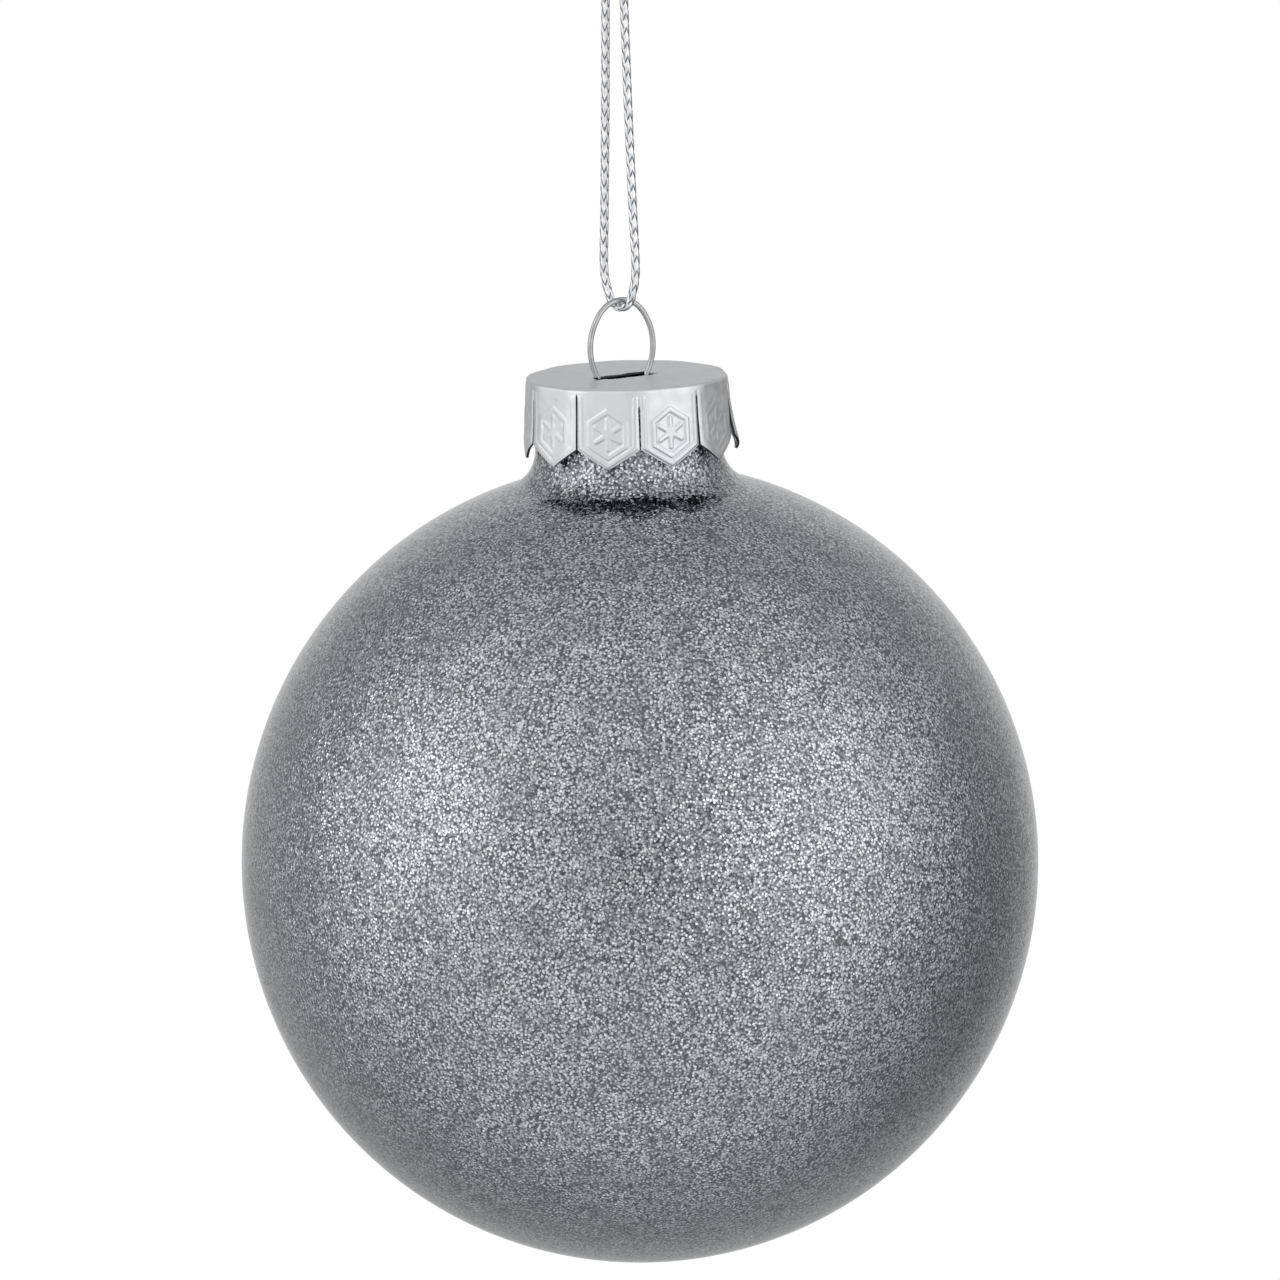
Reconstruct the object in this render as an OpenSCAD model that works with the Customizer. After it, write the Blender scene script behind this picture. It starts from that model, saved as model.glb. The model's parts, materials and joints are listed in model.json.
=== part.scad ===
// Glass ball ornament with a crown cap and a wire hanger, on a loop of braided cord.
// Millimetres.  The origin is where the loop hangs from, just under its knot, and +Z is up.
// The eye of the wire hanger lies in the XZ plane.

/* [Ball] */
// Outside diameter of the ball
ball_d = 80; // [60:1:100]
// How much taller the ball is than it is wide
ball_extra_h = 0.5; // [0:0.1:1]
// Thickness of the glass
glass = 0.8; // [0.6:0.1:1]
// Outside diameter of the neck
neck_d = 18.7; // [18:0.1:18.8]
// Height of the neck's rim above the top of the ball
neck_rise = 8.7; // [8.7:0.1:10]
// Radius of the hollow curve between the neck and the ball
neck_curve = 6; // [3:0.1:6]

/* [Cap] */
// Distance across two opposite panels, just under the rim
cap_d = 19.8; // [19.7:0.1:20.4]
// Height of the cap, down to the tips of its panels
cap_h = 7.9; // [7.5:0.1:8.2]
// Thickness of the cap's sheet metal
sheet = 0.25; // [0.2:0.05:0.3]
// Number of panels round the cap
panels = 10; // [9:1:12]
// Turn of the panels from the eye's plane, in degrees
cap_turn = -5.6; // [-18:0.1:18]
// Lean of the panels outwards, in degrees
flare = 2.5; // [2.5:0.5:6]
// Height of the plain band above the slits
band_h = 1.8; // [1.5:0.1:2.5]
// Width of the slits between the panels
slit_w = 0.15; // [0.1:0.05:0.3]
// Height of the V between two tips
notch_h = 2.05; // [1.5:0.05:2.5]
// Half the width of the blunt end of each tip
tip_blunt = 0.2; // [0.1:0.05:0.4]
// Length of the slot that the wire goes through
slot_l = 6.4; // [6.4:0.1:7.2]
// Width of that slot
slot_w = 1.1; // [0.9:0.05:1.2]
// Sideways place of the slot and the hanger, from the middle of the cap
slot_x = -0.5; // [-0.5:0.1:0.5]

/* [Panel pattern] */
// Height of the raised lines
relief = 0.15; // [0.1:0.05:0.2]
// Width of the raised lines
line_w = 0.4; // [0.3:0.05:0.45]
// Distance from the panel's edges to its border line
margin = 0.35; // [0.3:0.05:0.5]
// Width of the six-sided frame
frame_w = 4.2; // [3.8:0.1:4.2]
// Height of the six-sided frame
frame_h = 5.1; // [4.8:0.1:5.2]
// Distance from the cap's top to the middle of the frame
frame_drop = 4.4; // [4.2:0.1:4.4]
// Reach of the star's arms from its middle
star_r = 1.8; // [1.2:0.1:1.9]

/* [Hanger] */
// Diameter of the wire
wire_d = 0.56; // [0.4:0.01:0.6]
// Height of the eye's top above the cap, to the middle of the wire
eye_rise = 7.6; // [7.4:0.1:7.8]
// Radius of the eye's top, to the middle of the wire
eye_top_r = 3; // [2.9:0.1:3.1]
// Radius of the eye's two sides, to the middle of the wire
eye_side_r = 5.7; // [5.6:0.1:5.8]
// Angle above level where the top's arc meets the sides' arcs
eye_join = 39; // [37:1:41]
// One leg under the slot, as [out from the middle, down from the cap's top]
leg = [[2.6, 1.2], [7.2, 15.5], [6.6, 17.5]];

/* [Cord] */
// Diameter of the cord
cord_d = 0.88; // [0.7:0.01:0.9]
// Distance from the hanging point down to the middle of the wire
loop_drop = 53; // [53:1:80]
// Turn of the loop's plane from the YZ plane, in degrees
loop_turn = 20; // [0:1:30]
// Half of the loop: [out from the middle, height above the middle of the wire]
half_loop = [[0, -0.76], [0.5, -0.68], [1, -0.38], [1.32, 0.1], [1.6, 0.9], [1.88, 1.8],
    [2.03, 3], [2.02, 5], [1.8, 10], [1.45, 20], [1.18, 30], [0.85, 41]];
// Half the distance between the two strands where they lie side by side
strand_gap = 0.45; // [0.45:0.01:0.5]
// The knot, tied in both strands together: its middle line from the loop up to the tails
knot = [[0, 0, 0], [-0.1, 0.2, 1.2], [-0.4, 0.3, 2.5], [-0.2, -0.1, 3.5], [0.6, -0.8, 4.3],
    [1.6, -0.6, 5.2], [1.8, 0.3, 6.2], [1.1, 1.2, 6.9], [-0.2, 1.5, 7], [-1.4, 1.1, 6.5],
    [-1.9, 0.3, 5.5], [-1.9, -0.4, 4.6], [-1.7, -1.2, 3.5], [-0.9, -1.6, 2.6], [0.4, -1.3, 2.3],
    [1.4, -0.4, 2.6], [1.5, 0.6, 3.5], [0.8, 1, 4.6], [0.1, 0.4, 5.6], [0, -0.2, 6.5],
    [0.3, -0.4, 7.6], [0.4, -0.1, 8.8]];
// The two loose ends above the knot
tail_a = [[1, -0.4, 10.4], [1.8, -1, 12.5], [2.8, -1.4, 14.8], [4.2, -1.5, 16.8]];
tail_b = [[-0.2, 0.4, 10.4], [-1, 0.8, 12.5], [-2.2, 0.9, 14.6], [-3.8, 0.8, 16.4]];

/* [Hidden] */
$fn = 64;
ball_r = ball_d / 2;
neck_r = neck_d / 2;
rim_gap = 0.25;
eye_top = -loop_drop;
cap_top = eye_top - eye_rise;
rim = cap_top - sheet - rim_gap;
stretch = 1 + ball_extra_h / ball_d;
ball_middle = rim - neck_rise - stretch * ball_r;
flat_r = cap_d / 2;
panel_w = 2 * flat_r * tan(180 / panels);
tip_r = flat_r + cap_h * tan(flare);
rim_bend = 0.3;
corner = 0.2;
overlap = 0.1;
strand_side = [sin(loop_turn), -cos(loop_turn), 0];
cord_sides = 8;

// ---- Ball ----

// Section of the ball and its neck, inset by the thickness of the glass for the hollow
module ball_section(inset) {
    curve = neck_curve + inset;
    curve_x = neck_r + neck_curve;
    curve_y = sqrt(pow(ball_r + neck_curve, 2) - pow(curve_x, 2));
    top = stretch * ball_r + neck_rise + inset;
    turn = atan2(curve_x, curve_y);
    ball_steps = 54;
    curve_steps = 8;
    polygon(concat(
        [[0, stretch * (inset - ball_r)]],
        [for (k = [1 : ball_steps - 1]) let (a = (180 - turn) * k / ball_steps)
            (ball_r - inset) * [sin(a), -stretch * cos(a)]],
        [for (k = [0 : curve_steps]) let (a = turn + (90 - turn) * k / curve_steps)
            [curve_x - curve * sin(a), stretch * (curve_y - curve * cos(a))]],
        [[neck_r - inset, top], [0, top]]));
}

module glass_ball() {
    color("silver")
        translate([0, 0, ball_middle])
            rotate_extrude()
                difference() {
                    ball_section(0);
                    ball_section(glass);
                }
}

// ---- Cap ----

// Solid block of the cap's outline, with every face moved inwards by inset
module cap_block(inset) {
    low = -cap_h - inset;
    difference() {
        rotate_extrude()
            polygon([[0, low], [tip_r + corner - inset, low],
                [flat_r + corner - inset, -rim_bend - inset],
                [flat_r + corner - rim_bend / 3 - inset, -rim_bend / 3 - inset],
                [flat_r + corner - rim_bend - inset, -inset], [0, -inset]]);
        on_panels()
            translate([-panel_w, -2 * cap_h, -inset])
                cube([2 * panel_w, 3 * cap_h, 4]);
    }
}

// Puts its children on each panel's face: X across, Y up to the cap's top, Z outwards
module on_panels(turn = 0) {
    for (i = [0 : panels - 1])
        rotate([0, 0, cap_turn + turn + i * 360 / panels])
            translate([0, -flat_r, 0])
                rotate([90 - flare, 0, 0])
                    children();
}

// The slit between two panels, and the V between their tips
module slit() {
    half_v = tip_r * sin(180 / panels) - tip_blunt;
    linear_extrude(4, center = true)
        polygon([[-slit_w / 2, -band_h], [slit_w / 2, -band_h], [slit_w / 2, notch_h - cap_h],
            [half_v, -cap_h], [half_v, -cap_h - 1], [-half_v, -cap_h - 1],
            [-half_v, -cap_h], [-slit_w / 2, notch_h - cap_h]]);
}

module six_sides(w, h) {
    polygon([[0, h / 2], [w / 2, h / 4], [w / 2, -h / 4], [0, -h / 2], [-w / 2, -h / 4],
        [-w / 2, h / 4]]);
}

// A six-sided frame with a six-armed star in it
module star_in_frame() {
    difference() {
        six_sides(frame_w, frame_h);
        six_sides(frame_w - 2 * line_w, frame_h - 2.3 * line_w);
    }
    for (a = [0, 60, 120])
        rotate(a)
            square([line_w, 2 * star_r], center = true);
    circle(r = line_w);
}

// The border line down both sides of a panel and round its tip
module border() {
    side = panel_w / 2 - margin;
    tip = 1.2 * margin - cap_h;
    low = tip + 2 * notch_h * side / panel_w;
    polygon([[-side, -band_h], [-side, low], [0, tip], [side, low], [side, -band_h],
        [side - line_w / 2, -band_h], [side - line_w / 2, low + line_w / 4],
        [0, tip + line_w / 2], [line_w / 2 - side, low + line_w / 4], [line_w / 2 - side, -band_h]]);
}

module cap() {
    color("gainsboro")
        translate([0, 0, cap_top]) {
            difference() {
                cap_block(0);
                cap_block(sheet);
                on_panels(turn = 180 / panels)
                    slit();
                translate([slot_x, 0, 0])
                    cube([slot_l, slot_w, 2], center = true);
            }
            on_panels()
                translate([0, 0, -overlap])
                    linear_extrude(overlap + relief) {
                        translate([0, -frame_drop])
                            star_in_frame();
                        border();
                    }
        }
}

// ---- Hanger ----

// A straight piece of wire between two points of the XZ plane, given as [x, z]
module wire(a, b) {
    translate([a.x, 0, a.y])
        rotate([0, atan2(b.x - a.x, b.y - a.y), 0])
            cylinder(h = norm(b - a), d = wire_d);
}

module wire_bend(at) {
    translate([at.x, 0, at.y])
        sphere(d = 1.12 * wire_d);
}

// An arc of wire in the XZ plane, about the point middle, from one angle above level to another
module wire_arc(middle, r, from, to) {
    translate([middle.x, 0, middle.y])
        rotate([90, 0, 0])
            rotate([0, 0, from])
                rotate_extrude(angle = to - from)
                    translate([r, 0])
                        circle(d = wire_d);
}

module hanger_wire() {
    top_middle = [0, eye_rise - eye_top_r];
    side_middle = top_middle - (eye_side_r - eye_top_r) * [cos(eye_join), sin(eye_join)];
    low = -asin(side_middle.y / eye_side_r);
    join = top_middle + eye_top_r * [cos(eye_join), sin(eye_join)];
    in_slot = side_middle + eye_side_r * [cos(low), sin(low)];
    side = concat([in_slot], [for (p = leg) [p.x, -p.y]]);
    color("silver")
        translate([slot_x, 0, cap_top]) {
            wire_arc(top_middle, eye_top_r, eye_join, 180 - eye_join);
            for (turn = [0, 180])
                rotate([0, 0, turn]) {
                    wire_arc(side_middle, eye_side_r, low, eye_join);
                    for (i = [0 : len(side) - 2])
                        wire(side[i], side[i + 1]);
                    for (p = concat([join], side))
                        wire_bend(p);
                }
        }
}

// ---- Cord ----

function unit(v) = v / norm(v);

// A point of the smooth curve through the points p, a fraction t of the way from p[i] on
function between(p, i, t) =
    let (a = p[max(i - 1, 0)], b = p[i], c = p[i + 1], d = p[min(i + 2, len(p) - 1)])
    b + t * ((c - a) + t * ((2 * a - 5 * b + 4 * c - d) + t * (3 * b - a - 3 * c + d))) / 2;

function smooth(p, steps) =
    [for (i = [0 : len(p) - 2]) for (k = [0 : steps - 1]) between(p, i, k / steps), p[len(p) - 1]];

function directions(p) =
    [for (i = [0 : len(p) - 1]) unit(p[min(i + 1, len(p) - 1)] - p[max(i - 1, 0)])];

// A direction square to the route at each of its points, carried along it without a twist
function carried(along, side, i = 0) =
    i == len(along) ? [] :
    let (here = unit(side - (side * along[i]) * along[i]))
    concat([here], carried(along, here, i + 1));

module tube(route, side) {
    along = directions(route);
    sides = carried(along, side);
    last = len(route) - 1;
    n = cord_sides;
    polyhedron(
        points = [for (i = [0 : last]) for (k = [0 : n - 1]) let (a = 360 * k / n)
            route[i] + cord_d / 2 * (cos(a) * sides[i] + sin(a) * cross(along[i], sides[i]))],
        faces = concat(
            [[for (k = [0 : n - 1]) k]],
            [for (i = [0 : last - 1]) for (k = [0 : n - 1]) let (j = (k + 1) % n)
                [i * n + k, (i + 1) * n + k, (i + 1) * n + j, i * n + j]],
            [[for (k = [n - 1 : -1 : 0]) last * n + k]]));
}

module cord_loop() {
    end_gap = 0.3;
    half = concat(half_loop, [[strand_gap, loop_drop - end_gap]]);
    last = len(half) - 1;
    whole = concat([for (i = [last : -1 : 1]) [-half[i].x, half[i].y]], half);
    route = [for (p = whole) p.x * strand_side
        + [slot_x * (1 - p.y / loop_drop), 0, eye_top + p.y]];
    color("lightgray")
        tube(smooth(route, 3), [strand_side.y, -strand_side.x, 0]);
}

module cord_knot() {
    middle = smooth(knot, 3);
    sides = carried(directions(middle), strand_side);
    color("lightgray") {
        for (strand = [[1, tail_a], [-1, tail_b]]) {
            wound = [for (i = [0 : len(middle) - 1]) middle[i] + strand[0] * strand_gap * sides[i]];
            tube(concat(wound, strand[1]), strand_side);
        }
    }
}

glass_ball();
cap();
hanger_wire();
cord_loop();
cord_knot();
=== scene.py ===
"""The looks of the glass ball ornament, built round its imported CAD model. Metres, +Z up."""
import json
from math import asin, cos, exp, floor, hypot, log, pi, radians, sin, sqrt, tan

import bmesh
import bpy
from mathutils import Matrix, Vector, noise


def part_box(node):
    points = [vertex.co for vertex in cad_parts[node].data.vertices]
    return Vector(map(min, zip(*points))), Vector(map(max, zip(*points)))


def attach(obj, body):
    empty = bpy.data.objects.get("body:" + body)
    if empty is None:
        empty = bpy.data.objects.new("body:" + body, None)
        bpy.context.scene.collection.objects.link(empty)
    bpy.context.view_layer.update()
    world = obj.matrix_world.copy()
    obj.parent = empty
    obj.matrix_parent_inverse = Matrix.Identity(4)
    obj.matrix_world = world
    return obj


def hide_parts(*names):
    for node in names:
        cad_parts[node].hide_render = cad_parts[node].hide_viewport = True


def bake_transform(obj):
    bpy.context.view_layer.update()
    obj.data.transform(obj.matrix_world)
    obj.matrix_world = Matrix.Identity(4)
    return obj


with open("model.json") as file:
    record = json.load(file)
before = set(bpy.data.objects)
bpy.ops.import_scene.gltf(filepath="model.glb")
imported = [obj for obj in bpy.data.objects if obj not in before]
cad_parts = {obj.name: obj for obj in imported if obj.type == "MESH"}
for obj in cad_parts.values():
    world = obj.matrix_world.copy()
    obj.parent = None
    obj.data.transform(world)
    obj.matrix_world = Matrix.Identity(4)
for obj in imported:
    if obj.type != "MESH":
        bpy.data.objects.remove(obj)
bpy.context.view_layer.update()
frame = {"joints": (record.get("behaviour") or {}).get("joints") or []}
MM = 0.001
BALL_EXTRA_H = 0.5 * MM  # how much taller than wide the ball is

# ---- Places, read from the frame ----

joint_at = {j["name"]: Vector(j["pos_m"]) for j in frame["joints"] if j.get("pos_m")}
ball_low, ball_high = (Vector(p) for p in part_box("glass_ball"))
BALL_R = (ball_high.x - ball_low.x) / 2
STRETCH = 1 + BALL_EXTRA_H / (2 * BALL_R)
BALL_MIDDLE = Vector((0, 0, ball_low.z + STRETCH * BALL_R))
RIM = ball_high.z
CAP_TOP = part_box("cap")[1][2]
EYE_TOP = joint_at["ball_swing"].z

# ---- Sizes that the parts share ----

CORD_D = 0.88 * MM
STRAND_GAP = 0.45 * MM
LOOP_TURN = radians(20)
CAP_TURN = radians(-5.6)
SLOT_X = -0.5 * MM
SHEET = 0.25 * MM


# ==== Camera and studio ====

VIEW_AZIMUTH = radians(-30)
VIEW_ELEVATION = radians(10.3)
VIEW_ROLL = radians(1.55)
VIEW_DISTANCE = 1.0
VIEW_WIDTH = 128.6 * MM
VIEW_RISE = 22.25 * MM


def camera_axes():
    """Unit vectors of the picture: to its right, up it, and out of it towards the camera."""
    back = Vector((sin(VIEW_AZIMUTH) * cos(VIEW_ELEVATION),
                   -cos(VIEW_AZIMUTH) * cos(VIEW_ELEVATION), sin(VIEW_ELEVATION)))
    level_right = Vector((0, 0, 1)).cross(back).normalized()
    level_up = back.cross(level_right)
    right = cos(VIEW_ROLL) * level_right - sin(VIEW_ROLL) * level_up
    up = sin(VIEW_ROLL) * level_right + cos(VIEW_ROLL) * level_up
    return right, up, back


def make_camera():
    right, up, back = camera_axes()
    data = bpy.data.cameras.new("camera")
    data.lens = data.sensor_width * VIEW_DISTANCE / VIEW_WIDTH
    data.clip_start = 0.01
    camera = bpy.data.objects.new("camera", data)
    camera.matrix_world = Matrix((right, up, back)).transposed().to_4x4()
    camera.matrix_world.translation = BALL_MIDDLE + back * VIEW_DISTANCE + up * VIEW_RISE
    bpy.context.scene.collection.objects.link(camera)
    bpy.context.scene.camera = camera


# ==== Node and mesh helpers ====

def add(tree, kind, settings=None, **inputs):
    """Adds a shader node. Inputs go by name, with _ for a space; a socket is linked, a value is set."""
    made = tree.nodes.new("ShaderNode" + kind)
    for name, value in (settings or {}).items():
        setattr(made, name, value)
    for name, value in inputs.items():
        plug(tree, made.inputs[name.replace("_", " ")], value)
    return made


def plug(tree, socket, value):
    if isinstance(value, bpy.types.NodeSocket):
        tree.links.new(value, socket)
    else:
        socket.default_value = value


def calc(tree, operation, *values):
    """A Math node, or a Vector Math node where the first value is a vector."""
    vector = isinstance(values[0], bpy.types.NodeSocket) and values[0].type in ("VECTOR", "RGBA")
    made = add(tree, "VectorMath" if vector else "Math", {"operation": operation})
    for i, value in enumerate(values):
        if vector and operation == "SCALE" and i == 1:
            plug(tree, made.inputs["Scale"], value)
        else:
            plug(tree, made.inputs[i], value)
    return made.outputs["Value" if vector and operation == "DOT_PRODUCT" else 0]


def ramp(tree, value, low, high, to_low=0.0, to_high=1.0):
    """A smooth step of value from to_low at low to to_high at high."""
    return add(tree, "MapRange", {"interpolation_type": "SMOOTHSTEP"}, Value=value, From_Min=low,
               From_Max=high, To_Min=to_low, To_Max=to_high).outputs["Result"]


def mix(tree, factor, a, b):
    """A colour between a and b."""
    made = add(tree, "Mix", {"data_type": "RGBA"})
    for socket, value in zip((made.inputs["Factor"], made.inputs[6], made.inputs[7]), (factor, a, b)):
        plug(tree, socket, value)
    return made.outputs[2]


def new_material(name, **inputs):
    """A material of one Principled shader, with inputs set on it, and its tree."""
    material = bpy.data.materials.new(name)
    material.use_nodes = True
    tree = material.node_tree
    shader = tree.nodes["Principled BSDF"]
    for key, value in inputs.items():
        shader.inputs[key.replace("_", " ")].default_value = value
    return material, tree, shader


def mesh_object(name, points, faces, material, smooth=True):
    mesh = bpy.data.meshes.new(name)
    mesh.from_pydata(points, [], faces)
    mesh.materials.append(material)
    mesh.polygons.foreach_set("use_smooth", [smooth] * len(mesh.polygons))
    made = bpy.data.objects.new(name, mesh)
    bpy.context.scene.collection.objects.link(made)
    return made


def smoothstep(low, high, value):
    t = min(1.0, max(0.0, (value - low) / (high - low)))
    return t * t * (3 - 2 * t)


def grid_faces(rows, columns, closed=False, start=0):
    """Quads over rows of points; closed joins each row's last point to its first."""
    span = columns if closed else columns - 1
    return [(start + i * columns + j, start + i * columns + (j + 1) % columns,
             start + (i + 1) * columns + (j + 1) % columns, start + (i + 1) * columns + j)
            for i in range(rows - 1) for j in range(span)]


# ==== Routes and tubes ====

def between(points, i, t):
    """A point a fraction t of the way from points[i] to the next, on the smooth curve through all."""
    a, b = points[max(i - 1, 0)], points[i]
    c, d = points[i + 1], points[min(i + 2, len(points) - 1)]
    return b + t * ((c - a) + t * ((2 * a - 5 * b + 4 * c - d) + t * (3 * b - a - 3 * c + d))) / 2


def smooth_route(points, steps):
    inner = [between(points, i, k / steps) for i in range(len(points) - 1) for k in range(steps)]
    return inner + [points[-1]]


def even_route(points, gap):
    """The same line with its points gap apart."""
    result = [points[0]]
    left = gap
    for a, b in zip(points, points[1:]):
        length = (b - a).length
        at = left
        while at <= length:
            result.append(a.lerp(b, at / length))
            at += gap
        left = at - length
    return result


def directions(points):
    last = len(points) - 1
    return [(points[min(i + 1, last)] - points[max(i - 1, 0)]).normalized() for i in range(last + 1)]


def carried(along, side):
    """A direction square to the route at each of its points, carried along it without a twist."""
    result = []
    for way in along:
        side = (side - side.dot(way) * way).normalized()
        result.append(side)
    return result


def tube_faces(rings, sides):
    """The faces of a tube of rings of points, with its two ends."""
    first_end = tuple(range(sides - 1, -1, -1))
    last_end = tuple(range((rings - 1) * sides, rings * sides))
    return grid_faces(rings, sides, closed=True) + [first_end, last_end]


def tube_mesh(name, route, side, sides, radius, material):
    """A round tube with closed ends."""
    along = directions(route)
    points = []
    for at, way, out in zip(route, along, carried(along, side)):
        over = way.cross(out)
        points += [at + radius * (cos(a) * out + sin(a) * over)
                   for a in (2 * pi * k / sides for k in range(sides))]
    return mesh_object(name, points, tube_faces(len(route), sides), material)


# ==== Cord ====

# The cord's route, as in the CAD model, in millimetres.
HALF_LOOP = [(0, -0.76), (0.5, -0.68), (1, -0.38), (1.32, 0.1), (1.6, 0.9), (1.88, 1.8),
             (2.03, 3), (2.02, 5), (1.8, 10), (1.45, 20), (1.18, 30), (0.85, 41)]
KNOT = [(0, 0, 0), (-0.1, 0.2, 1.2), (-0.4, 0.3, 2.5), (-0.2, -0.1, 3.5), (0.6, -0.8, 4.3),
        (1.6, -0.6, 5.2), (1.8, 0.3, 6.2), (1.1, 1.2, 6.9), (-0.2, 1.5, 7), (-1.4, 1.1, 6.5),
        (-1.9, 0.3, 5.5), (-1.9, -0.4, 4.6), (-1.7, -1.2, 3.5), (-0.9, -1.6, 2.6),
        (0.4, -1.3, 2.3), (1.4, -0.4, 2.6), (1.5, 0.6, 3.5), (0.8, 1, 4.6), (0.1, 0.4, 5.6),
        (0, -0.2, 6.5), (0.3, -0.4, 7.6), (0.4, -0.1, 8.8)]
TAIL_A = [(1, -0.4, 10.4), (1.8, -1, 12.5), (2.8, -1.4, 14.8), (4.2, -1.5, 16.8)]
TAIL_B = [(-0.2, 0.4, 10.4), (-1, 0.8, 12.5), (-2.2, 0.9, 14.6), (-3.8, 0.8, 16.4)]
KNOT_STEPS = 8
CORD_SIDES = 32
CORD_STEP = 0.08 * MM
COLUMNS = 4
STITCH = 1.42 * MM
STITCH_POINT = 0.45
STITCH_DEPTH = 0.08 * MM


def strand_side():
    return Vector((sin(LOOP_TURN), -cos(LOOP_TURN), 0))


def cord_route():
    """The cord's middle line: down from one loose end, round the hanger's wire, and up to the other."""
    side = strand_side()
    middle = smooth_route([Vector(p) * MM for p in KNOT], KNOT_STEPS)
    out = carried(directions(middle), side)
    wound = {hand: [at + hand * STRAND_GAP * o for at, o in zip(middle, out)] for hand in (1, -1)}
    tails = {1: TAIL_A, -1: TAIL_B}
    ends = {hand: smooth_route(wound[hand][-2:] + [Vector(p) * MM for p in tails[hand]], KNOT_STEPS)
            for hand in (1, -1)}
    half = [(x * MM, EYE_TOP + z * MM) for x, z in HALF_LOOP]
    down = [side * x + Vector((SLOT_X * z / EYE_TOP, 0, z)) for x, z in reversed(half)]
    up = [side * -x + Vector((SLOT_X * z / EYE_TOP, 0, z)) for x, z in half[1:]]
    loop = smooth_route([wound[1][0]] + down + up + [wound[-1][0]], KNOT_STEPS)
    first = list(reversed(ends[1])) + list(reversed(wound[1][:-2]))
    return first[:-1] + loop + wound[-1][1:-2] + ends[-1]


def stitch_height(angle, along):
    """Height of the knitted surface, from 0 in its grooves to 1: columns of pointed stitches."""
    turn = angle / (2 * pi / COLUMNS)
    column = floor(turn)
    off = 2 * abs(turn - column - 0.5)
    phase = along / STITCH - STITCH_POINT * off + 0.5 * (column % 2)
    part = phase - floor(phase)
    loop = smoothstep(0, 0.22, part) * (1 - 0.9 * smoothstep(0.55, 1, part))
    return loop * (1 - 0.6 * smoothstep(0.65, 1, off))


def make_cord(material):
    smooth = cord_route()
    route = even_route(smooth, CORD_STEP)
    along = directions(route)
    out = carried(along, Vector((strand_side().y, -strand_side().x, 0)))
    points, heights = [], []
    for i, (at, way, side) in enumerate(zip(route, along, out)):
        over = way.cross(side)
        for k in range(CORD_SIDES):
            a = 2 * pi * k / CORD_SIDES
            height = stitch_height(a, i * CORD_STEP)
            r = CORD_D / 2 - STITCH_DEPTH * (1 - height)
            points.append(at + r * (cos(a) * side + sin(a) * over))
            heights.append(height)
    cord = mesh_object("cord", points, tube_faces(len(route), CORD_SIDES), material)
    # The stitch height also drives the painted shade in the grooves.
    cord.data.attributes.new("height", "FLOAT", "POINT").data.foreach_set("value", heights)
    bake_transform(cord)
    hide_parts("cord_loop", "cord_knot")


def cord_material():
    """Silver foil yarn, with painted shade in the grooves between its stitches."""
    material, tree, shader = new_material("silver_cord", Metallic=1.0, Roughness=0.3)
    where = add(tree, "TexCoord").outputs["Object"]
    height = add(tree, "Attribute", {"attribute_name": "height"}).outputs["Fac"]
    spots = add(tree, "TexNoise", Vector=where, Scale=2200.0, Detail=2.0).outputs["Fac"]
    foil = mix(tree, ramp(tree, spots, 0.35, 0.65), (0.74, 0.76, 0.78, 1), (1.0, 1.0, 1.0, 1))
    # Painted shade: the yarn's colour goes near-black where the stitch height falls into the grooves.
    plug(tree, shader.inputs["Base Color"],
         mix(tree, ramp(tree, height, 0.05, 0.65), (0.11, 0.13, 0.17, 1), foil))
    bump = add(tree, "Bump", Height=spots, Distance=0.00005, Strength=0.4)
    plug(tree, shader.inputs["Normal"], bump.outputs["Normal"])
    return material


# ==== Glass ball ====

GLASS = 0.8 * MM
NECK_R = 9.35 * MM
NECK_CURVE = 4 * MM  # tighter than the CAD model's 6 mm
BALL_COLUMNS = 288
BALL_ROWS = 150
CURVE_ROWS = 16
NECK_ROWS = 12
RIM_STEPS = 8
NEAR_FLAKE = 0.31 * MM
DEEP_FLAKE = 0.27 * MM
DEEP_SHIFT = (0.013, 0.007, 0.019)


def ball_section(inset, rows):
    """The ball's outline from its lowest point up to the neck's rim, as (radius, height) pairs."""
    curve_x = NECK_R + NECK_CURVE
    curve_y = sqrt((BALL_R + NECK_CURVE) ** 2 - curve_x ** 2)
    turn = asin(curve_x / (BALL_R + NECK_CURVE))
    r = BALL_R - inset
    hollow = NECK_CURVE + inset
    below = ((pi - turn) * k / rows for k in range(1, rows))
    curve = (turn + (pi / 2 - turn) * k / CURVE_ROWS for k in range(CURVE_ROWS + 1))
    low = STRETCH * curve_y
    high = RIM - BALL_MIDDLE.z
    return ([(r * sin(a), -STRETCH * r * cos(a)) for a in below]
            + [(curve_x - hollow * sin(a), STRETCH * (curve_y - hollow * cos(a))) for a in curve]
            + [(NECK_R - inset, low + (high - low) * k / NECK_ROWS) for k in range(1, NECK_ROWS + 1)])


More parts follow.
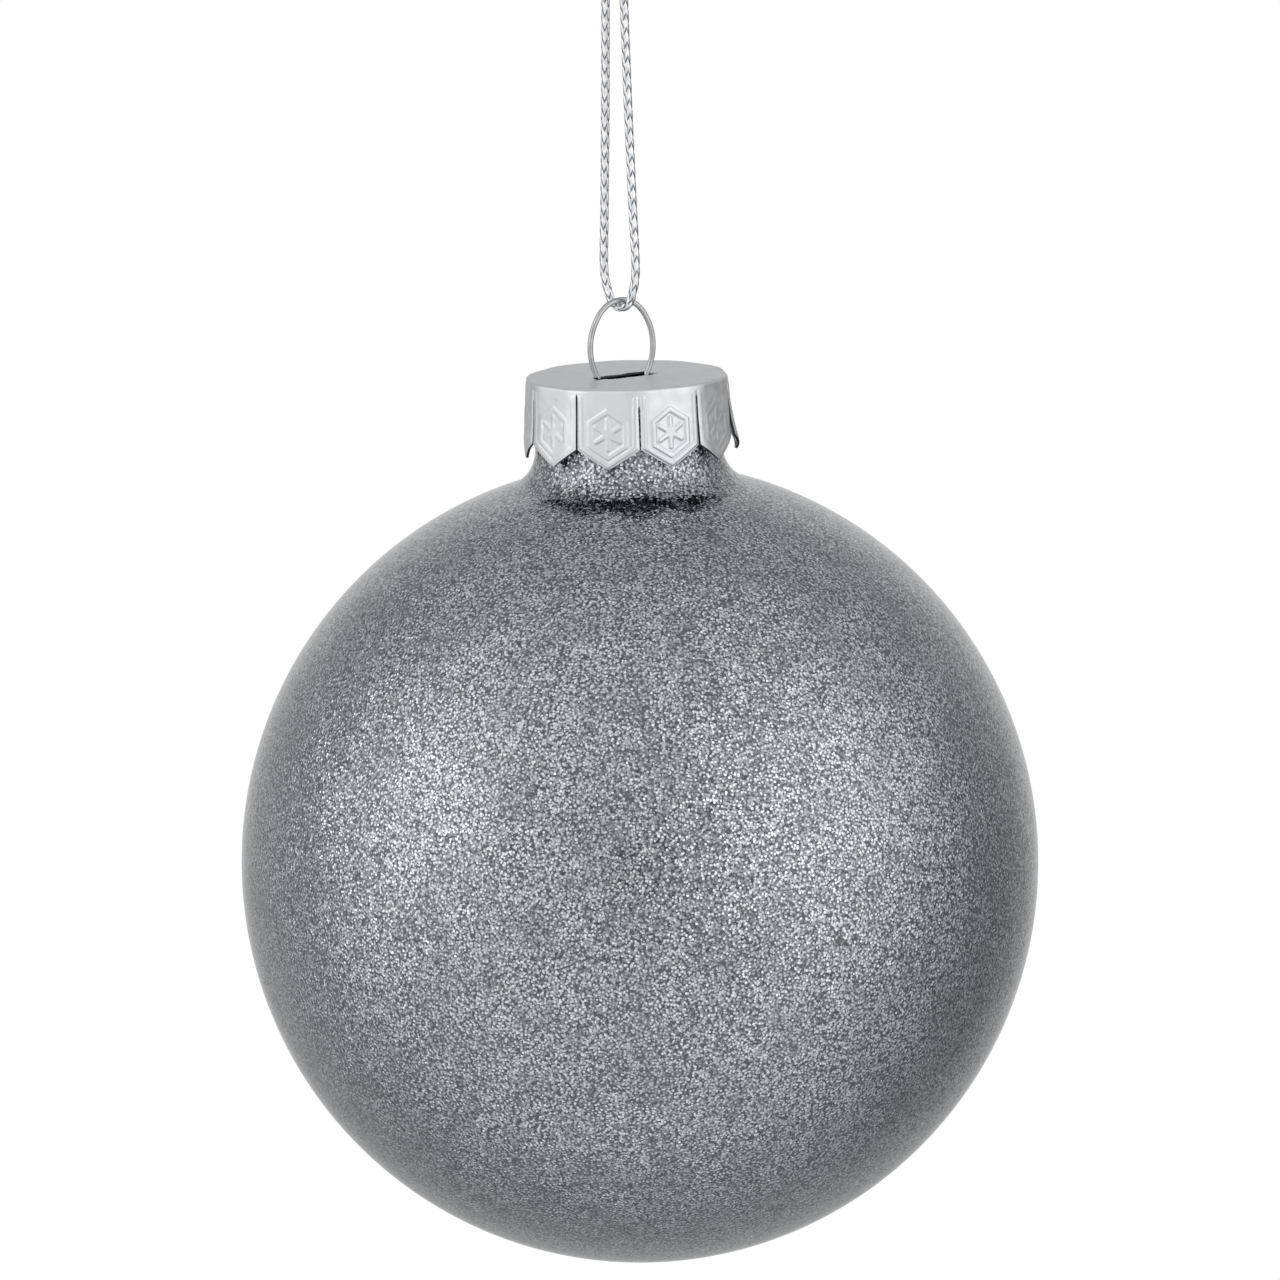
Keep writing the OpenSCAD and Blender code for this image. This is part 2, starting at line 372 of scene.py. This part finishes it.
def make_ball(material):
    outer = ball_section(0, BALL_ROWS)
    inner = ball_section(GLASS, BALL_ROWS // 3)
    edge = GLASS / 2
    round_edge = [(NECK_R - edge + edge * cos(a), RIM - BALL_MIDDLE.z - edge + edge * sin(a))
                  for a in (pi * k / RIM_STEPS for k in range(RIM_STEPS + 1))]
    section = outer[:-2] + round_edge + list(reversed(inner[:-2]))
    points = [BALL_MIDDLE + Vector((r * cos(a), r * sin(a), z)) for r, z in section
              for a in (2 * pi * k / BALL_COLUMNS for k in range(BALL_COLUMNS))]
    faces = grid_faces(len(section), BALL_COLUMNS, closed=True)
    down = Vector((0, 0, -STRETCH))
    faces += pole(points, 0, BALL_MIDDLE + BALL_R * down, turned=True)
    faces += pole(points, (len(section) - 1) * BALL_COLUMNS, BALL_MIDDLE + (BALL_R - GLASS) * down)
    ball = mesh_object("glass_ball_lined", points, faces, material)
    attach(ball, "ball")
    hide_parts("glass_ball")


def pole(points, start, at, turned=False):
    """Closes the ring of points from start with a fan to the point at, which it adds."""
    middle = len(points)
    points.append(at)
    fan = [(start + (k + 1) % BALL_COLUMNS, start + k, middle) for k in range(BALL_COLUMNS)]
    return fan if turned else [tuple(reversed(f)) for f in fan]


def flakes(tree, where, size, tilt, shift):
    """One layer of glitter: a mask of the flakes, their tilted normal, and a random colour each."""
    moved = calc(tree, "ADD", where, shift)
    cells = add(tree, "TexVoronoi", Vector=moved, Scale=1 / size)
    normal = add(tree, "NewGeometry").outputs["Normal"]
    lean = calc(tree, "SCALE", calc(tree, "SUBTRACT", cells.outputs["Color"], (0.5, 0.5, 0.5)), tilt)
    tilted = calc(tree, "NORMALIZE", calc(tree, "ADD", normal, lean))
    return cells.outputs["Distance"], tilted, cells.outputs["Color"]


def glitter_material():
    """Glass over two layers of glitter: bright flakes, darker ones in their gaps, and a dark ground."""
    material, tree, shader = new_material("glitter_under_glass", Metallic=1.0, Roughness=0.16,
                                          Coat_Weight=1.0, Coat_Roughness=0.03, Coat_IOR=1.5,
                                          Coat_Tint=(0.955, 0.985, 1.0, 1))
    where = add(tree, "TexCoord").outputs["Object"]
    near, near_normal, near_random = flakes(tree, where, NEAR_FLAKE, 0.45, (0, 0, 0))
    deep, deep_normal, deep_random = flakes(tree, where, DEEP_FLAKE, 0.6, DEEP_SHIFT)
    clumps = add(tree, "TexNoise", Vector=where, Scale=650.0, Detail=2.0).outputs["Fac"]
    patches = add(tree, "TexNoise", Vector=where, Scale=230.0, Detail=2.0).outputs["Fac"]
    on_top = ramp(tree, near, 0.34, 0.48, 1.0, 0.0)
    in_gap = ramp(tree, deep, 0.44, 0.6, 1.0, 0.0)
    shade = add(tree, "SeparateColor", Color=near_random)
    bright = mix(tree, shade.outputs["Red"], (0.46, 0.48, 0.49, 1), (0.93, 0.94, 0.94, 1))
    tinted = mix(tree, ramp(tree, shade.outputs["Green"], 0.97, 0.98), bright, (0.8, 0.77, 0.7, 1))
    deep_shade = add(tree, "SeparateColor", Color=deep_random).outputs["Red"]
    grey = mix(tree, deep_shade, (0.3, 0.315, 0.325, 1), (0.52, 0.54, 0.55, 1))
    lit_grey = mix(tree, ramp(tree, clumps, 0.35, 0.65), (0.24, 0.252, 0.262, 1), grey)
    under = mix(tree, in_gap, (0.08, 0.089, 0.1, 1), lit_grey)
    lining = mix(tree, on_top, under, tinted)
    thin = calc(tree, "MULTIPLY", calc(tree, "SUBTRACT", 1.0, ramp(tree, patches, 0.3, 0.62)), 0.3)
    plug(tree, shader.inputs["Base Color"], mix(tree, thin, lining, (0.15, 0.155, 0.16, 1)))
    normal = add(tree, "Mix", {"data_type": "VECTOR"})
    for socket, value in zip((normal.inputs["Factor"], normal.inputs[4], normal.inputs[5]),
                             (on_top, deep_normal, near_normal)):
        plug(tree, socket, value)
    plug(tree, shader.inputs["Normal"], normal.outputs[1])
    return material


# ==== Cap ====

PANELS = 10
PANEL_TURN = 2 * pi / PANELS
FLAT_R = 9.9 * MM
CORNER_R = 10.12 * MM
CORNER_SOFTNESS = 0.05 * MM
CAP_H = 7.9 * MM
FLARE = radians(2.5)
RIM_BEND = 0.3 * MM
NOTCH_H = 2.05 * MM
TIP_BLUNT = 0.06
SLIT_W = 0.14 * MM
MARGIN = 0.35 * MM
FRAME_W = 4.2 * MM
FRAME_H = 5.1 * MM
FRAME_DROP = 4.4 * MM
STAR_R = 1.45 * MM
LINE_W = 0.46 * MM
RELIEF = 0.15 * MM
SLOT_L = 6.4 * MM
SLOT_W = 1.1 * MM
SLOT_LIP = 0.06 * MM
SLOT_PRESSED = 0.2 * MM
PANEL_COLUMNS = 80
SKIRT_ROWS = 92
RIM_ROWS = 6
TOP_RINGS = 30
# For each panel: how deep its pattern is pressed, how far its tip is bent out in millimetres, and
# how far below the rim the slit at its right begins in millimetres
PANEL_MAKE = [(1.0, 0.05, 0.9), (0.2, 0.2, 1.6), (0.6, 1.0, 1.7), (0.9, 0.1, 1.4), (0.7, 0.15, 1.8),
              (1.0, 0.0, 1.2), (0.8, 0.2, 1.7), (0.5, 0.15, 1.5), (0.22, 0.1, 0.4), (0.7, 0.0, 1.6)]


def segment_distance(p, a, b):
    """Distance from the point p to the line from a to b, and how far along it that is, from 0 to 1."""
    along = b - a
    t = min(1, max(0, (p - a).dot(along) / along.length_squared))
    return (p - a - along * t).length, t


def panel_half_width(drop):
    return (FLAT_R + drop * tan(FLARE)) * tan(PANEL_TURN / 2)


def panel_lines():
    """The raised lines of a panel's pattern, as pairs of points with x across and y up to its top."""
    half = panel_half_width(CAP_H)
    side = half - MARGIN - 0.1 * MM
    foot = -CAP_H + 1.2 * MARGIN
    low = foot + NOTCH_H * side / half
    top = -0.9 * MM
    middle = Vector((0, -FRAME_DROP))
    w, h = (FRAME_W - LINE_W) / 2, (FRAME_H - LINE_W) / 2
    corners = ((0, h), (w, h / 2), (w, -h / 2), (0, -h), (-w, -h / 2), (-w, h / 2))
    ring = [middle + Vector(p) for p in corners]
    border = [Vector(p) for p in ((-side, top), (-side, low), (0, foot), (side, low), (side, top))]
    return list(zip(ring, ring[1:] + ring[:1])) + list(zip(border, border[1:]))


def relief(x, y, lines):
    """Height of the pattern at a point of a panel: its lines, and a six-armed star in the frame."""
    p = Vector((x, y))
    near = min(segment_distance(p, a, b)[0] for a, b in lines)
    line = 1 - smoothstep(0.3 * LINE_W, 0.75 * LINE_W, near)
    middle = Vector((0, -FRAME_DROP))
    arms = (middle + STAR_R * Vector((sin(a), cos(a))) for a in (pi / 3 * k for k in range(6)))
    star = 0
    for reach, t in (segment_distance(p, middle, tip) for tip in arms):
        half = (0.24 + 0.26 * (1 - t) ** 3) * MM
        star = max(star, 1 - smoothstep(0.5 * half, 1.25 * half, reach))
    return RELIEF * max(line, star)


def skirt_point(u, row, slit_top, lines):
    """A point of a panel: u runs from -1 to 1 across it, row from 0 at the rim to 1 at its tip.

    Gives its place, with -Y outwards, and the height of the pattern there.
    """
    if row < RIM_ROWS / SKIRT_ROWS:
        turn = row * SKIRT_ROWS / RIM_ROWS * pi / 2
        drop = RIM_BEND * (1 - cos(turn))
        out = RIM_BEND * (sin(turn) - 1)
        raised = 0
    else:
        tip = CAP_H - NOTCH_H * (hypot(u, TIP_BLUNT) - TIP_BLUNT)
        down = (row - RIM_ROWS / SKIRT_ROWS) / (1 - RIM_ROWS / SKIRT_ROWS)
        drop = RIM_BEND + (tip - RIM_BEND) * down
        out = 0
        raised = relief(u * panel_half_width(drop), -drop, lines)
    slit = SLIT_W / 2 / FLAT_R * smoothstep(slit_top, slit_top + 0.3 * MM, drop)
    angle = u * (PANEL_TURN / 2 - slit)
    lean = drop * tan(FLARE)
    flat, rounded = (FLAT_R + lean) / cos(angle), CORNER_R + lean
    gap = (flat - rounded) / CORNER_SOFTNESS
    r = rounded - CORNER_SOFTNESS * log(1 + exp(-gap)) + out
    return Vector((r * sin(angle), -r * cos(angle), -drop * cos(FLARE))), raised


def bent_out(bend, drop):
    """How far a panel that is bent out stands off at a distance below the rim: its tip curls back in."""
    t = drop / CAP_H
    return bend * (t ** 2.5 - 28 * max(0, t - 0.88) ** 2)


def dents(p):
    """Small unevenness of the sheet, at a point of the cap."""
    broad = noise.noise(p / MM * 0.45)
    fine = noise.noise(p / MM * 1.3)
    return (0.035 * broad + 0.012 * fine) * MM


def make_cap(material, edge_shade_material):
    """The pressed cap. Its second material, for the cut edges of its sheet, is a painted shade:
    near-black.
    """
    lines = panel_lines()
    points, faces, rim = [], [], []
    for panel, (pressed, bend, slit_right) in enumerate(PANEL_MAKE):
        slit_left = PANEL_MAKE[panel - 1][2]
        turn = Matrix.Rotation(CAP_TURN + panel * PANEL_TURN, 3, "Z")
        start = len(points)
        for i in range(SKIRT_ROWS):
            for j in range(PANEL_COLUMNS + 1):
                u = -1 + 2 * j / PANEL_COLUMNS
                slit_top = (slit_right if u > 0 else slit_left) * MM
                p, raised = skirt_point(u, i / (SKIRT_ROWS - 1), slit_top, lines)
                out = pressed * raised + bent_out(bend * MM, -p.z)
                out += dents(turn @ p) * smoothstep(0, 1.5 * MM, -p.z)
                points.append(turn @ (p - Vector((0, out, 0))))
        rim += points[start:start + PANEL_COLUMNS]
        faces += [tuple(reversed(f)) for f in grid_faces(SKIRT_ROWS, PANEL_COLUMNS + 1, start=start)]
    add_cap_top(points, faces, rim)
    cap = mesh_object("cap_pressed", [Vector((0, 0, CAP_TOP)) + p for p in points], faces, material)
    cap.data.materials.append(edge_shade_material)
    weld(cap)
    thick = cap.modifiers.new("sheet", "SOLIDIFY")
    # The sheet's cut edges, the slot's walls among them, take the near-black second material: painted
    # shade.
    thick.material_offset_rim = 1
    thick.thickness = SHEET
    thick.offset = -1
    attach(cap, "cap")
    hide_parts("cap")


def slot_point(angle):
    """A point of the slot's edge, in the direction of an angle from +X."""
    c, s = abs(cos(angle)), abs(sin(angle))
    reach = min(SLOT_L / 2 / max(c, 1e-6), SLOT_W / 2 / max(s, 1e-6))
    return Vector((SLOT_X + reach * cos(angle), reach * sin(angle), 0))


def top_height(p):
    """Height of the cap's top: the slot's front edge is pressed in, and its back edge stands up."""
    off_slot = hypot(max(0, abs(p.x - SLOT_X) - SLOT_L / 2), max(0, abs(p.y) - SLOT_W / 2))
    uneven = 1 + 0.6 * noise.noise(Vector((p.x, 0, 0)) / MM * 0.9) + 1.2 * (p.x - SLOT_X) / SLOT_L
    along = smoothstep(SLOT_L / 2 + 0.3 * MM, SLOT_L / 2 - 0.3 * MM, abs(p.x - SLOT_X))
    if p.y < 0:
        edge = -SLOT_PRESSED * uneven * (1 - smoothstep(0, 0.9 * MM, off_slot))
    else:
        edge = SLOT_LIP * uneven * max(0, 1 - off_slot / (0.4 * MM)) ** 2
    return edge * along + 1.2 * dents(p) * smoothstep(0, 2 * MM, CORNER_R - p.length)


def add_cap_top(points, faces, rim):
    """The cap's flat top, in rings from its rim in to the slot."""
    start = len(points)
    for k in range(TOP_RINGS + 1):
        for p in rim:
            q = p.lerp(slot_point(p.to_2d().angle_signed(Vector((1, 0)))), (k / TOP_RINGS) ** 0.6)
            q.z = top_height(q)
            points.append(q)
    faces += grid_faces(TOP_RINGS + 1, len(rim), closed=True, start=start)


def weld(made):
    mesh = bmesh.new()
    mesh.from_mesh(made.data)
    bmesh.ops.remove_doubles(mesh, verts=mesh.verts, dist=0.002 * MM)
    mesh.to_mesh(made.data)
    mesh.free()


def cap_material():
    """Pressed tin: a satin sheet with fine drawn streaks and a few dull specks."""
    material, tree, shader = new_material("pressed_tin", Metallic=1.0)
    where = add(tree, "TexCoord").outputs["Object"]
    fine = add(tree, "TexNoise", Vector=where, Scale=900.0, Detail=4.0).outputs["Fac"]
    broad = add(tree, "TexNoise", Vector=where, Scale=160.0, Detail=2.0).outputs["Fac"]
    drawn = add(tree, "Mapping", Vector=where, Scale=(3000.0, 3000.0, 180.0)).outputs["Vector"]
    streaks = add(tree, "TexNoise", Vector=drawn, Scale=1.0, Detail=2.0).outputs["Fac"]
    colour = mix(tree, broad, (0.68, 0.695, 0.715, 1), (0.78, 0.79, 0.8, 1))
    specks = ramp(tree, fine, 0.72, 0.8)
    plug(tree, shader.inputs["Base Color"], mix(tree, specks, colour, (0.5, 0.51, 0.53, 1)))
    plug(tree, shader.inputs["Roughness"], ramp(tree, fine, 0.3, 0.7, 0.34, 0.48))
    height = calc(tree, "ADD", calc(tree, "MULTIPLY", streaks, 0.5), fine)
    bump = add(tree, "Bump", Height=height, Distance=0.00002, Strength=0.45)
    plug(tree, shader.inputs["Normal"], bump.outputs["Normal"])
    return material


# Near-black metal for the sheet's cut edges: painted shade, so that the slot's walls read dark.
def painted_shade_edge_material():
    return new_material("cut_edge_painted_shade", Metallic=1.0, Roughness=0.5, Base_Color=(0.07, 0.075, 0.09, 1))[0]


# ==== Hanger ====

WIRE_D = 0.56 * MM
EYE_TOP_R = 3 * MM
EYE_SIDE_R = 5.7 * MM
EYE_JOIN = radians(39)
LEG = [(2.6, -1.2), (7.2, -15.5), (6.6, -17.5)]
WIRE_SIDES = 20


def round_corners(points, reach, steps=8):
    """The same line with each inner corner turned into a curve that starts reach before it."""
    result = [points[0]]
    for before, at, after in zip(points, points[1:], points[2:]):
        a = at + (before - at).normalized() * min(reach, (before - at).length / 2)
        b = at + (after - at).normalized() * min(reach, (after - at).length / 2)
        result += [a.lerp(at, t).lerp(at.lerp(b, t), t) for t in (k / steps for k in range(steps + 1))]
    return result + [points[-1]]


def arc(middle, r, start, end, steps=24):
    """Points of an arc in the XZ plane, between two angles above level."""
    turns = (start + (end - start) * k / steps for k in range(steps + 1))
    return [middle + r * Vector((cos(a), 0, sin(a))) for a in turns]


def make_hanger(material):
    top_middle = Vector((0, 0, EYE_TOP - EYE_TOP_R))
    side_middle = top_middle - (EYE_SIDE_R - EYE_TOP_R) * Vector((cos(EYE_JOIN), 0, sin(EYE_JOIN)))
    low = asin((CAP_TOP - side_middle.z) / EYE_SIDE_R)
    top = arc(top_middle, EYE_TOP_R, pi / 2, EYE_JOIN)
    side = arc(side_middle, EYE_SIDE_R, EYE_JOIN, low)
    leg = [Vector((x * MM, 0, CAP_TOP + z * MM)) for x, z in LEG]
    half = top[:-1] + side[:-1] + round_corners([side[-1]] + leg, 0.8 * MM)
    whole = [Vector((-p.x, 0, p.z)) for p in reversed(half[1:])] + half
    route = [p + Vector((SLOT_X, 0, 0)) for p in even_route(whole, 0.15 * MM)]
    wire = tube_mesh("hanger_wire_bent", route, Vector((0, 1, 0)), WIRE_SIDES, WIRE_D / 2, material)
    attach(wire, "hanger")
    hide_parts("hanger_wire")


def wire_material():
    """Drawn steel wire with faint marks."""
    material, tree, shader = new_material("drawn_wire", Metallic=1.0, Roughness=0.24)
    where = add(tree, "TexCoord").outputs["Object"]
    marks = add(tree, "TexNoise", Vector=where, Scale=500.0, Detail=3.0).outputs["Fac"]
    plug(tree, shader.inputs["Base Color"],
         mix(tree, ramp(tree, marks, 0.3, 0.7), (0.4, 0.41, 0.42, 1), (0.52, 0.53, 0.54, 1)))
    bump = add(tree, "Bump", Height=marks, Distance=0.00001, Strength=0.3)
    plug(tree, shader.inputs["Normal"], bump.outputs["Normal"])
    return material


# ==== Studio ====

# Soft lights and dark places round the ball, as a direction to the picture's right, up and front,
# the half angles in degrees where each begins and ends to fade, and how much light it adds
GLOWS = [
    ((-0.9, 0.26, 0.36), 6, 37, 0.75),
    ((0.82, 0.2, 0.53), 8, 42, 0.62),
    ((0.0, 0.35, -0.94), 8, 40, 0.28),
    ((0.95, -0.3, -0.35), 10, 45, -0.22),
    ((-0.9, 0.0, -0.4), 10, 45, 0.1),
    ((0.0, -0.9, -0.1), 20, 60, -0.06),
    ((0.0, 1.0, 0.1), 8, 26, -0.26),
    ((0.0, 0.0, 1.0), 4, 12, -1.0),
]
FRONT_LIGHT = 1.1
BACK_LIGHT = 0.5
LEAST_LIGHT = 0.02
FLOOR_SIDE = 3.0
FLOOR_DROP = 100 * MM


def make_studio():
    """A world that is plain white to the camera and lights the object as a softly lit studio would."""
    world = bpy.data.worlds.new("studio")
    world.use_nodes = True
    bpy.context.scene.world = world
    tree = world.node_tree
    tree.nodes.clear()
    right, up, back = camera_axes()
    way = add(tree, "TexCoord").outputs["Generated"]
    light = ramp(tree, calc(tree, "DOT_PRODUCT", way, back), -0.7, 0.3, BACK_LIGHT, FRONT_LIGHT)
    for (x, y, z), inner, outer, strength in GLOWS:
        middle = (right * x + up * y + back * z).normalized()
        near = calc(tree, "DOT_PRODUCT", way, middle)
        light = calc(tree, "ADD", light,
                     ramp(tree, near, cos(radians(outer)), cos(radians(inner)), 0.0, strength))
    light = calc(tree, "MAXIMUM", light, LEAST_LIGHT)
    lit = add(tree, "Background", Strength=light)
    white = add(tree, "Background", Color=(1, 1, 1, 1))
    seen = add(tree, "LightPath").outputs["Is Camera Ray"]
    both = add(tree, "MixShader", Fac=seen)
    plug(tree, both.inputs[1], lit.outputs[0])
    plug(tree, both.inputs[2], white.outputs[0])
    out = add(tree, "OutputWorld")
    plug(tree, out.inputs["Surface"], both.outputs[0])


def make_floor():
    """A plain white floor well under the hanging ball, which the object neither sees nor shades."""
    half = FLOOR_SIDE / 2
    z = ball_low.z - FLOOR_DROP
    material, tree, shader = new_material("white_floor", Emission_Color=(1, 1, 1, 1),
                                          Emission_Strength=1.0, Base_Color=(0, 0, 0, 1), Roughness=1.0)
    shader.inputs["Specular IOR Level"].default_value = 0
    corners = [(-half, -half, z), (half, -half, z), (half, half, z), (-half, half, z)]
    ground = mesh_object("floor", corners, [(0, 1, 2, 3)], material)
    for kind in ("diffuse", "glossy", "transmission", "shadow"):
        setattr(ground, "visible_" + kind, False)


make_camera()
make_cord(cord_material())
make_ball(glitter_material())
make_cap(cap_material(), painted_shade_edge_material())
make_hanger(wire_material())
make_studio()
make_floor()
bpy.context.scene.view_settings.view_transform = "Standard"
